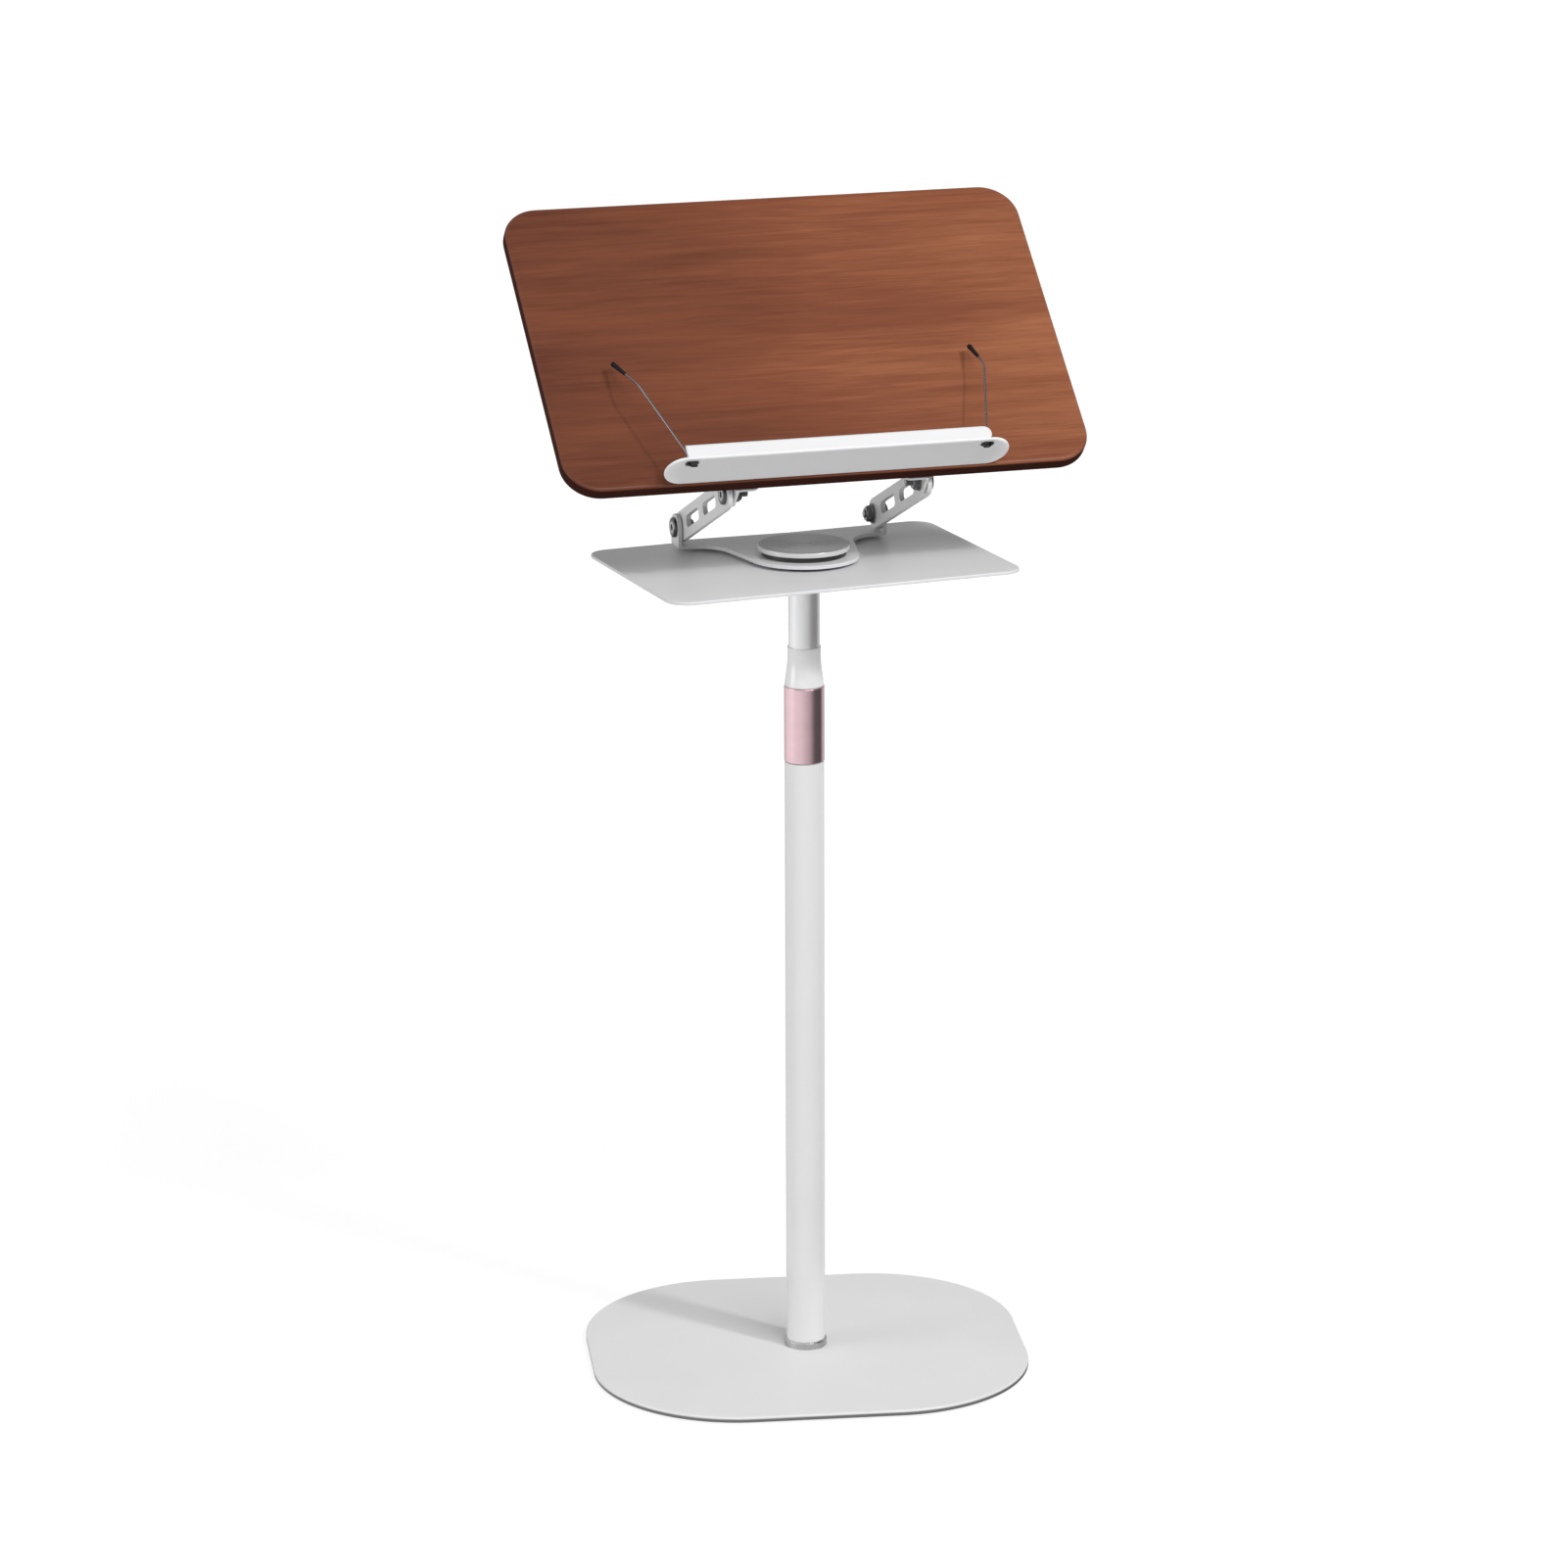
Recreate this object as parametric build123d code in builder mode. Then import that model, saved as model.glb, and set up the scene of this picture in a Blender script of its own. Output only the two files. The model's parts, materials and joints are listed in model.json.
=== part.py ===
from build123d import *
import os
from math import cos, radians, sin, tan

os.makedirs("parts", exist_ok=True)

# Adjustable floor-standing reading stand, in millimetres.
# The origin is on the floor, under the axis of the pole. +Z is up and the reader sits on the -Y side.
# The head is square to the axes. The shelf and the base are each turned a little on the pole.

# Clearances
running_gap = 0.08
loose_gap = 0.3

# Weighted base
base_width = 360
base_depth = 315
base_corner = 120
base_thickness = 4.5
base_edge = 1.4
base_turn = -10.5
pad_thickness = 1.5
pad_radius = 12
pad_spread_share = 0.66

# Foot of the pole
base_bolt_radius = 4
base_bolt_head_radius = 7
base_bolt_cone = 45
base_bolt_sink = 0.3
base_bolt_length = 24
base_bolt_socket = 2.9
base_bolt_socket_depth = 2.2
plug_height = 28
foot_ring_wall = 1.5
foot_ring_height = 6
foot_ring_edge = 1

# Telescopic pole
lower_tube_radius = 16
lower_tube_wall = 1.5
lower_tube_length = 502.2
upper_tube_radius = 12.7
upper_tube_wall = 1.2
upper_tube_length = 517
mast_reveal = 64
glide_height = 25
glide_lip = 2

# Twist lock of the pole
bush_depth = 25
bush_rim_height = 0.8
bush_spigot_height = 40
bush_spigot_radius = 14.6
bush_spigot_wall = 0.9
collar_radius = 16.4
collar_height = 62
collar_edge = 0.4
cone_height = 32.5
cone_low_radius = 15.9
cone_seam = 0.8
cone_flare = 26
cone_flare_shares = (0.375, 0.42, 0.5)
cone_top_wall = 0.5
cone_spigot = 10
collet_head_height = 8
collet_slot = 1.6

# Shelf and what carries it
flange_radius = 38
flange_thickness = 4
flange_spigot = 40
flange_spigot_bore = 8
shelf_width = 300
shelf_depth = 200
shelf_corner = 18
shelf_thickness = 2.5
shelf_edge = 0.8
shelf_turn = 5.2

# Swivel on top of the shelf
hub_radius = 23
hub_bore = 9
slip_washer_radius = 38
slip_washer_thickness = 2.5
spacer_radius = 34
spacer_thickness = 4.5
disc_radius = 37
disc_thickness = 4
disc_edge = 0.9
swivel_screw_circle = 17
swivel_screw_count = 4
swivel_screw_radius = 2
swivel_screw_head = 3.4
swivel_screw_head_height = 2.6
swivel_screw_bite = 2

# Hinge plate: a flat pressing, round at the front, with an upright ear at each side
hinge_plate_thickness = 3
hinge_bulge = 44.5
hinge_taper = 12
hinge_flare = 28
ear_width = 22
ear_outer = 88
ear_thickness = 3
ear_bend = 2.4
pivot_back = 67
pivot_height = 13.5

# Friction pivots: bolt, washers and nut
pivot_radius = 3
pivot_head_radius = 8.2
pivot_head_height = 2.8
pivot_head_edge = 1.2
pivot_socket = 2.3
pivot_socket_depth = 1.8
friction_washer_radius = 10
friction_washer_thickness = 1
inner_washer_radius = 8.4
inner_washer_thickness = 1
nut_radius = 6.7
nut_flange_radius = 7.6
nut_flange_height = 1.4
nut_height = 6
nut_edge = 0.8
lower_bolt_end = 1.5
upper_bolt_end = 5.5

# Arms
arm_length = 137.6
arm_rise = 22.65
arm_width = 25
arm_thickness = 4
arm_edge = 0.6
window_start = 22
window_length = 38
window_rib = 13.5
window_height = 10
window_corner = 4

# Reading board
board_width = 432
board_depth = 280
board_thickness = 12.5
board_corner = 30
board_edge = 3
board_tilt = 41.9
pivot_inset = 9
pivot_drop = 15.7

# Brackets under the board
bracket_thickness = 2.5
bracket_ear_radius = 10
bracket_reach = 21
bracket_run = 46
bracket_corner = 7
bracket_margin = 0.6
bracket_screw_places = ((6.5, 4.5), (14, 4.5), (11, 34))
bracket_screw_radius = 1.5
bracket_screw_head = 2.8
bracket_screw_head_height = 2.2
bracket_screw_edge = 0.7
bracket_screw_bite = 7

# Ledge: a pressed tray with a flange on the board, a floor with round ends and a lip
ledge_length = 281
ledge_depth = 33
ledge_thickness = 1.8
ledge_rise = 0.9
ledge_offset = 1.5
ledge_flange_height = 18
ledge_lip_height = 13
ledge_corner = 6
ledge_edge = 1.4
ledge_screw_places = (40, 100)
ledge_screw_height = 10
ledge_screw_radius = 1.7
ledge_screw_head = 3.2
ledge_screw_head_height = 1.4
ledge_screw_edge = 0.6
ledge_screw_bite = 7

# Page clips: bent wire with a soft cap, each turning in a bush in the floor of the ledge
clip_place = 120.3
clip_inset = 6
clip_bush_length = 11
clip_bush_width = 6
clip_bush_rim = 0.9
clip_bush_rim_height = 1
clip_bush_offset = 2.3
clip_wire_radius = 0.8
clip_wire_run = 11
clip_knees = ((23.5, 1, 79), (17, 5, 82.5))
clip_tips = ((34.5, 18, 114), (14.5, 19, 111))
clip_foot = 6
clip_foot_drop = 2.6
clip_foot_bend = 2.4
clip_low_bend = 14
clip_knee_bend = 22
clip_cap_length = 20
clip_cap_radius = 2.1
clip_cap_tail = 1.3
clip_cap_bore = 15
clip_cap_dome_share = 0.9

# Heights up the pole
base_top = pad_thickness + base_thickness
lower_tube_top = base_top + lower_tube_length
lower_tube_bore = lower_tube_radius - lower_tube_wall
upper_tube_bore = upper_tube_radius - upper_tube_wall
bush_rim_top = lower_tube_top + bush_rim_height
collar_bottom = bush_rim_top
collar_top = collar_bottom + collar_height
cone_top = collar_top + cone_height
flange_bottom = cone_top + mast_reveal
shelf_bottom = flange_bottom + flange_thickness
shelf_top = shelf_bottom + shelf_thickness
hinge_plate_bottom = shelf_top + slip_washer_thickness
hinge_plate_top = hinge_plate_bottom + hinge_plate_thickness
disc_bottom = hinge_plate_top + spacer_thickness
upper_tube_bottom = flange_bottom - upper_tube_length

# Planes of the head: the two hinge axes, the faces of the board and the floor of the ledge
board_up = Vector(0, cos(radians(board_tilt)), sin(radians(board_tilt)))
board_out = Vector(0, -sin(radians(board_tilt)), cos(radians(board_tilt)))
arm_back = Vector(0, cos(radians(arm_rise)), -sin(radians(arm_rise)))
low_pivot = Vector(0, pivot_back, hinge_plate_top + pivot_height)
high_pivot = low_pivot - arm_back * arm_length
board_bottom = high_pivot - board_up * pivot_inset + board_out * (pivot_drop + board_thickness)
board_centre = board_bottom + board_up * (board_depth / 2)
board_face = Plane(origin=board_centre, x_dir=(1, 0, 0), z_dir=board_out)
board_back = board_face.offset(-board_thickness)
board_axis = Axis(board_centre, board_out)
ledge_shift = Vector(-ledge_offset, 0, 0)
ledge_face = Plane(origin=board_centre + ledge_shift, x_dir=(1, 0, 0), z_dir=board_out)
floor_spot = board_bottom + ledge_shift + board_up * ledge_rise
ledge_floor = Plane(origin=floor_spot, x_dir=(1, 0, 0), z_dir=board_up)

# Sideways places of the pivots, from the ears inwards
arm_outer = ear_outer - ear_thickness - friction_washer_thickness
arm_inner = arm_outer - arm_thickness
lower_nut_seat = arm_inner - inner_washer_thickness
bracket_outer = arm_inner - friction_washer_thickness
bracket_inner = bracket_outer - bracket_thickness

# Places of the screws and the page clips on the board
ledge_screw_y = ledge_rise + ledge_screw_height - board_depth / 2
ledge_screw_spots = [(side * place, ledge_screw_y) for side in (-1, 1) for place in ledge_screw_places]
clip_out = ledge_depth - clip_inset
clip_pin = clip_place + clip_bush_offset


def bracket_screw_spots(side):
    low_edge = -board_depth / 2
    return [(side * (bracket_outer - inward), low_edge + up) for inward, up in bracket_screw_places]


def write(piece, label):
    piece.part.label = label
    export_step(piece.part, "parts/" + label + ".step")


def ring(plane, outer, inner, height):
    with BuildPart() as piece:
        with BuildSketch(plane):
            Circle(outer)
            Circle(inner, mode=Mode.SUBTRACT)
        extrude(amount=height)
    return piece


def turned(points):
    # A turned piece from half of its section, given as (radius, height) corners
    with BuildPart() as piece:
        with BuildSketch(Plane.XZ):
            with BuildLine():
                Polyline(*points, close=True)
            make_face()
        revolve(axis=Axis.Z)
    return piece


def across(x, pivot):
    # A plane square to X, centred on a hinge axis
    return Plane(origin=(x, pivot.Y, pivot.Z), x_dir=(0, 1, 0), z_dir=(1, 0, 0))


# Base plate: a rounded slab, countersunk from below for the pole bolt
base_plane = Plane.XY.offset(pad_thickness).rotated((0, 0, base_turn))
base_bolt_head_height = base_bolt_head_radius - base_bolt_radius
with BuildPart() as base_plate:
    with BuildSketch(base_plane):
        RectangleRounded(base_width, base_depth, base_corner)
    extrude(amount=base_thickness)
    fillet(base_plate.faces().sort_by(Axis.Z)[-1].outer_wire().edges(), base_edge)
    with BuildSketch(base_plane):
        Circle(base_bolt_radius + loose_gap)
    extrude(amount=base_thickness, mode=Mode.SUBTRACT)
    with BuildSketch(base_plane):
        Circle(base_bolt_head_radius + base_bolt_sink)
    extrude(amount=base_bolt_head_height, taper=base_bolt_cone, mode=Mode.SUBTRACT)
write(base_plate, "base_plate")

# Pads that the base stands on
with BuildPart() as base_pads:
    with BuildSketch(base_plane.offset(-pad_thickness)):
        with GridLocations(base_width * pad_spread_share, base_depth * pad_spread_share, 2, 2):
            Circle(pad_radius)
    extrude(amount=pad_thickness)
write(base_pads, "base_pads")

# Countersunk bolt through the base into the plug of the lower tube
bolt_low = pad_thickness + base_bolt_sink
bolt_high = bolt_low + base_bolt_length
with BuildPart() as base_bolt:
    with BuildSketch(Plane.XZ):
        with BuildLine():
            Polyline(
                (0, bolt_low),
                (base_bolt_head_radius, bolt_low),
                (base_bolt_radius, bolt_low + base_bolt_head_height),
                (base_bolt_radius, bolt_high),
                (0, bolt_high),
                close=True,
            )
        make_face()
    revolve(axis=Axis.Z)
    with BuildSketch(Plane.XY.offset(bolt_low)):
        RegularPolygon(base_bolt_socket, 6)
    extrude(amount=base_bolt_socket_depth, mode=Mode.SUBTRACT)
write(base_bolt, "base_bolt")

# Threaded plug in the foot of the lower tube
tube_plug = ring(Plane.XY.offset(base_top), lower_tube_bore, base_bolt_radius, plug_height)
write(tube_plug, "tube_plug")

# Ring that hides the joint of tube and base
foot_outer = lower_tube_radius + foot_ring_wall
foot_ring = turned(
    [
        (lower_tube_radius, base_top),
        (foot_outer, base_top),
        (foot_outer, base_top + foot_ring_height - foot_ring_edge),
        (foot_outer - foot_ring_edge, base_top + foot_ring_height),
        (lower_tube_radius, base_top + foot_ring_height),
    ]
)
write(foot_ring, "foot_ring")

lower_tube = ring(Plane.XY.offset(base_top), lower_tube_radius, lower_tube_bore, lower_tube_length)
write(lower_tube, "lower_tube")

# Bush in the mouth of the lower tube: a sleeve, a rim on the tube and a spigot for the lock
bush_bottom = lower_tube_top - bush_depth
bush_top = bush_rim_top + bush_spigot_height
bush_bore = upper_tube_radius + loose_gap
spigot_bore = bush_spigot_radius - bush_spigot_wall
thread_bush = turned(
    [
        (bush_bore, bush_bottom),
        (lower_tube_bore, bush_bottom),
        (lower_tube_bore, lower_tube_top),
        (lower_tube_radius, lower_tube_top),
        (lower_tube_radius, bush_rim_top),
        (bush_spigot_radius, bush_rim_top),
        (bush_spigot_radius, bush_top),
        (spigot_bore, bush_top),
        (spigot_bore, bush_rim_top),
        (bush_bore, bush_rim_top),
    ]
)
write(thread_bush, "thread_bush")

# Split collet: it stands in the spigot and closes on the upper tube
collet_bore = upper_tube_radius + running_gap
collet_foot = spigot_bore - loose_gap
collet_top = collar_top - cone_spigot - loose_gap
collet_head = collet_top - collet_head_height
with BuildPart() as clamp_collet:
    with BuildSketch(Plane.XZ):
        with BuildLine():
            Polyline(
                (collet_bore, bush_rim_top),
                (collet_foot, bush_rim_top),
                (collet_foot, collet_head - loose_gap),
                (bush_spigot_radius, collet_head + loose_gap),
                (bush_spigot_radius, collet_top),
                (collet_bore, collet_top),
                close=True,
            )
        make_face()
    revolve(axis=Axis.Z)
    with BuildSketch(Plane.XY.offset(bush_rim_top)):
        with Locations((collar_radius / 2, 0)):
            Rectangle(collar_radius, collet_slot)
    extrude(amount=collet_top - bush_rim_top, mode=Mode.SUBTRACT)
write(clamp_collet, "clamp_collet")

# Anodised collar that is turned to lock the height
thread_bore = bush_spigot_radius + loose_gap
with BuildPart() as lock_collar:
    with BuildSketch(Plane.XY.offset(collar_bottom)):
        Circle(collar_radius)
        Circle(thread_bore, mode=Mode.SUBTRACT)
    extrude(amount=collar_height)
    rims = lock_collar.edges().filter_by(GeomType.CIRCLE).group_by(SortBy.RADIUS)[-1]
    chamfer(rims, collar_edge)
write(lock_collar, "lock_collar")

# White cone on top of the collar: its spigot sits in the collar and its bore guides the upper tube
cone_bore = upper_tube_radius + loose_gap
cone_lip = cone_bore + cone_top_wall
cone_drop = cone_low_radius - cone_lip
cone_foot = collar_top + cone_seam
foot_share, rise_share, neck_share = cone_flare_shares
with BuildPart() as collar_cone:
    with BuildSketch(Plane.XZ):
        with BuildLine():
            Polyline(
                (cone_low_radius, cone_foot),
                (thread_bore, cone_foot),
                (thread_bore, collar_top - cone_spigot),
                (cone_bore, collar_top - cone_spigot),
                (cone_bore, cone_top),
                (cone_lip, cone_top),
                (cone_lip, cone_foot + cone_flare),
            )
            Bezier(
                (cone_lip, cone_foot + cone_flare),
                (cone_lip, cone_foot + neck_share * cone_flare),
                (cone_low_radius - foot_share * cone_drop, cone_foot + rise_share * cone_flare),
                (cone_low_radius, cone_foot),
            )
        make_face()
    revolve(axis=Axis.Z)
write(collar_cone, "collar_cone")

upper_tube = ring(Plane.XY.offset(upper_tube_bottom), upper_tube_radius, upper_tube_bore, upper_tube_length)
write(upper_tube, "upper_tube")

# Glide on the lower end of the upper tube
glide_outer = lower_tube_bore - running_gap
glide_bush = turned(
    [
        (upper_tube_bore, upper_tube_bottom - glide_lip),
        (glide_outer, upper_tube_bottom - glide_lip),
        (glide_outer, upper_tube_bottom + glide_height),
        (upper_tube_radius, upper_tube_bottom + glide_height),
        (upper_tube_radius, upper_tube_bottom),
        (upper_tube_bore, upper_tube_bottom),
    ]
)
write(glide_bush, "glide_bush")

# Flange under the shelf, with a spigot in the upper tube
with BuildPart() as mast_flange:
    with BuildSketch(Plane.XY.offset(flange_bottom)):
        Circle(flange_radius)
    extrude(amount=flange_thickness)
    with BuildSketch(Plane.XY.offset(flange_bottom - flange_spigot)):
        Circle(upper_tube_bore)
    extrude(amount=flange_spigot)
    with BuildSketch(Plane.XY.offset(flange_bottom - flange_spigot)):
        Circle(flange_spigot_bore)
    extrude(amount=flange_spigot + flange_thickness, mode=Mode.SUBTRACT)
    with BuildSketch(Plane.XY.offset(flange_bottom)):
        with PolarLocations(swivel_screw_circle, swivel_screw_count):
            Circle(swivel_screw_radius + running_gap)
    extrude(amount=flange_thickness, mode=Mode.SUBTRACT)
write(mast_flange, "mast_flange")

shelf_plane = Plane.XY.offset(shelf_bottom).rotated((0, 0, shelf_turn))
with BuildPart() as shelf_plate:
    with BuildSketch(shelf_plane):
        RectangleRounded(shelf_width, shelf_depth, shelf_corner)
    extrude(amount=shelf_thickness)
    fillet(shelf_plate.faces().sort_by(Axis.Z)[-1].outer_wire().edges(), shelf_edge)
    with BuildSketch(Plane.XY.offset(shelf_bottom)):
        with PolarLocations(swivel_screw_circle, swivel_screw_count):
            Circle(swivel_screw_radius + running_gap)
    extrude(amount=shelf_thickness, mode=Mode.SUBTRACT)
write(shelf_plate, "shelf_plate")

# Screws from below through flange, shelf and hub into the disc
with BuildPart() as swivel_screws:
    with BuildSketch(Plane.XY.offset(flange_bottom - swivel_screw_head_height)):
        with PolarLocations(swivel_screw_circle, swivel_screw_count):
            Circle(swivel_screw_head)
    extrude(amount=swivel_screw_head_height)
    with BuildSketch(Plane.XY.offset(flange_bottom)):
        with PolarLocations(swivel_screw_circle, swivel_screw_count):
            Circle(swivel_screw_radius)
    extrude(amount=disc_bottom + swivel_screw_bite - flange_bottom)
write(swivel_screws, "swivel_screws")

# Hub that the hinge plate turns on
with BuildPart() as swivel_hub:
    with BuildSketch(Plane.XY.offset(shelf_top)):
        Circle(hub_radius)
        Circle(hub_bore, mode=Mode.SUBTRACT)
        with PolarLocations(swivel_screw_circle, swivel_screw_count):
            Circle(swivel_screw_radius + running_gap, mode=Mode.SUBTRACT)
    extrude(amount=disc_bottom - shelf_top)
write(swivel_hub, "swivel_hub")

washer_bore = hub_radius + running_gap
slip_washer = ring(Plane.XY.offset(shelf_top), slip_washer_radius, washer_bore, slip_washer_thickness)
write(slip_washer, "slip_washer")

disc_spacer = ring(Plane.XY.offset(hinge_plate_top), spacer_radius, washer_bore, spacer_thickness)
write(disc_spacer, "disc_spacer")

with BuildPart() as swivel_disc:
    with BuildSketch(Plane.XY.offset(disc_bottom)):
        Circle(disc_radius)
    extrude(amount=disc_thickness)
    fillet(swivel_disc.faces().sort_by(Axis.Z)[-1].edges(), disc_edge)
    with BuildSketch(Plane.XY.offset(disc_bottom)):
        with PolarLocations(swivel_screw_circle, swivel_screw_count):
            Circle(swivel_screw_radius)
    extrude(amount=swivel_screw_bite, mode=Mode.SUBTRACT)
write(swivel_disc, "swivel_disc")

# Hinge plate: its sides leave the round front as tangents and flare out to the ears
plate_front = pivot_back - ear_width / 2
plate_back = pivot_back + ear_width / 2
taper_x = hinge_bulge * cos(radians(hinge_taper))
taper_y = -hinge_bulge * sin(radians(hinge_taper))
flare_x = taper_x + (plate_front - taper_y) * tan(radians(hinge_taper))
with BuildPart() as hinge_plate:
    with BuildSketch(Plane.XY.offset(hinge_plate_bottom)):
        with BuildLine():
            ThreePointArc((-taper_x, taper_y), (0, -hinge_bulge), (taper_x, taper_y))
            Polyline(
                (taper_x, taper_y),
                (flare_x, plate_front),
                (ear_outer, plate_front),
                (ear_outer, plate_back),
                (-ear_outer, plate_back),
                (-ear_outer, plate_front),
                (-flare_x, plate_front),
                (-taper_x, taper_y),
            )
        make_face()
        hollows = vertices().filter_by_position(Axis.Y, plate_front, plate_front)
        fillet(hollows.sort_by(Axis.X)[1:3], hinge_flare)
    extrude(amount=hinge_plate_thickness)
    for side in (-1, 1):
        with BuildSketch(across(side * ear_outer, low_pivot)):
            Circle(ear_width / 2)
            with Locations((0, -(low_pivot.Z - hinge_plate_bottom) / 2)):
                Rectangle(ear_width, low_pivot.Z - hinge_plate_bottom)
        extrude(amount=-side * ear_thickness)
    corners = hinge_plate.edges().filter_by(Axis.Y)
    fillet(corners.filter_by_position(Axis.Z, hinge_plate_bottom, hinge_plate_bottom), ear_bend)
    creases = hinge_plate.edges().filter_by(Axis.Y)
    fillet(creases.filter_by_position(Axis.Z, hinge_plate_top, hinge_plate_top), ear_bend / 2)
    with BuildSketch(Plane.XY.offset(hinge_plate_bottom)):
        Circle(hub_radius + running_gap)
    extrude(amount=hinge_plate_thickness, mode=Mode.SUBTRACT)
    with BuildSketch(across(-ear_outer, low_pivot)):
        Circle(pivot_radius + running_gap)
    extrude(amount=2 * ear_outer, mode=Mode.SUBTRACT)
write(hinge_plate, "hinge_plate")


def pivot_bolts(pivot, head_seat, nut_seat, bolt_end):
    # Button heads on the outer side, shanks through to the nuts
    with BuildPart() as piece:
        with BuildSketch(across(head_seat, pivot)):
            Circle(pivot_head_radius)
        extrude(amount=pivot_head_height)
        fillet(piece.faces().sort_by(Axis.X)[-1].edges(), pivot_head_edge)
        shank_end = nut_seat - nut_height - bolt_end
        with BuildSketch(across(shank_end, pivot)):
            Circle(pivot_radius)
        extrude(amount=head_seat - shank_end)
        with BuildSketch(across(head_seat + pivot_head_height, pivot)):
            RegularPolygon(pivot_socket, 6)
        extrude(amount=-pivot_socket_depth, mode=Mode.SUBTRACT)
        mirror(about=Plane.YZ)
    return piece


def pivot_washers(pivot, outer_face, radius, thickness):
    # A washer on each side of the head
    with BuildPart() as piece:
        with BuildSketch(across(outer_face, pivot)):
            Circle(radius)
            Circle(pivot_radius + running_gap, mode=Mode.SUBTRACT)
        extrude(amount=-thickness)
        mirror(about=Plane.YZ)
    return piece


def pivot_nuts(pivot, seat):
    # Flanged nuts on the inner side
    with BuildPart() as piece:
        with BuildSketch(across(seat - nut_height, pivot)):
            RegularPolygon(nut_radius, 6)
        extrude(amount=nut_height)
        chamfer(piece.faces().sort_by(Axis.X)[0].edges(), nut_edge)
        with BuildSketch(across(seat, pivot)):
            Circle(nut_flange_radius)
        extrude(amount=-nut_flange_height)
        with BuildSketch(across(seat, pivot)):
            Circle(pivot_radius)
        extrude(amount=-nut_height, mode=Mode.SUBTRACT)
        mirror(about=Plane.YZ)
    return piece


# Lower pivots: head, ear, friction washer, arm, inner washer, nut
write(pivot_bolts(low_pivot, ear_outer, lower_nut_seat, lower_bolt_end), "lower_bolts")
write(pivot_nuts(low_pivot, lower_nut_seat), "lower_nuts")
ear_inner = ear_outer - ear_thickness
lower_friction_washers = pivot_washers(
    low_pivot, ear_inner, friction_washer_radius, friction_washer_thickness
)
write(lower_friction_washers, "lower_friction_washers")
lower_inner_washers = pivot_washers(low_pivot, arm_inner, inner_washer_radius, inner_washer_thickness)
write(lower_inner_washers, "lower_inner_washers")

# Upper pivots: head, arm, friction washer, bracket, nut
write(pivot_bolts(high_pivot, arm_outer, bracket_inner, upper_bolt_end), "upper_bolts")
write(pivot_nuts(high_pivot, bracket_inner), "upper_nuts")
upper_friction_washers = pivot_washers(
    high_pivot, arm_inner, friction_washer_radius, friction_washer_thickness
)
write(upper_friction_washers, "upper_friction_washers")

# Arms: flat bars with round ends and two windows
arm_middle = (low_pivot + high_pivot) * 0.5
window_step = window_length + window_rib
window_first = window_start + window_length / 2 - arm_length / 2
for side, label in ((-1, "left_arm"), (1, "right_arm")):
    arm_plane = Plane(origin=(side * arm_inner, arm_middle.Y, arm_middle.Z), x_dir=-arm_back, z_dir=(1, 0, 0))
    with BuildPart() as arm:
        with BuildSketch(arm_plane):
            SlotCenterToCenter(arm_length, arm_width)
        extrude(amount=side * arm_thickness)
        chamfer(arm.faces().filter_by(Axis.X).edges(), arm_edge)
        with BuildSketch(arm_plane):
            with Locations((window_first, 0), (window_first + window_step, 0)):
                RectangleRounded(window_length, window_height, window_corner)
            with Locations((-arm_length / 2, 0), (arm_length / 2, 0)):
                Circle(pivot_radius + running_gap)
        extrude(amount=side * arm_thickness, mode=Mode.SUBTRACT)
    write(arm, label)

# Reading board: a veneered panel with round corners, soft edges and pilot holes for its screws
with BuildPart() as reading_board:
    with BuildSketch(board_back):
        RectangleRounded(board_width, board_depth, board_corner)
    extrude(amount=board_thickness)
    rims = reading_board.faces().sort_by(board_axis)
    fillet(rims[0].edges() + rims[-1].edges(), board_edge)
    with BuildSketch(board_back):
        with Locations(*bracket_screw_spots(-1), *bracket_screw_spots(1)):
            Circle(bracket_screw_radius)
    extrude(amount=bracket_screw_bite, mode=Mode.SUBTRACT)
    with BuildSketch(ledge_face):
        with Locations(*ledge_screw_spots):
            Circle(ledge_screw_radius)
    extrude(amount=-ledge_screw_bite, mode=Mode.SUBTRACT)
write(reading_board, "reading_board")

# Angle brackets: an ear round the upper pivot and a flange on the back of the board
flange_middle_x = bracket_outer - bracket_reach / 2
flange_middle_y = bracket_margin + bracket_run / 2 - board_depth / 2
for side, label in ((-1, "left_bracket"), (1, "right_bracket")):
    ear_spot = (side * bracket_inner, high_pivot.Y, high_pivot.Z)
    ear_face = Plane(origin=ear_spot, x_dir=board_up, z_dir=(1, 0, 0))
    with BuildPart() as bracket:
        with BuildSketch(ear_face):
            Circle(bracket_ear_radius)
            with Locations((0, pivot_drop / 2)):
                Rectangle(2 * bracket_ear_radius, pivot_drop)
        extrude(amount=side * bracket_thickness)
        with BuildSketch(board_back):
            with Locations((side * flange_middle_x, flange_middle_y)):
                Rectangle(bracket_reach, bracket_run)
            fillet(vertices().sort_by(Axis.X)[::side][:2], bracket_corner)
        extrude(amount=-bracket_thickness)
        with BuildSketch(board_back):
            with Locations(*bracket_screw_spots(side)):
                Circle(bracket_screw_radius + running_gap)
        extrude(amount=-bracket_thickness, mode=Mode.SUBTRACT)
        with BuildSketch(ear_face):
            Circle(pivot_radius + running_gap)
        extrude(amount=side * bracket_thickness, mode=Mode.SUBTRACT)
    write(bracket, label)

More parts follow.
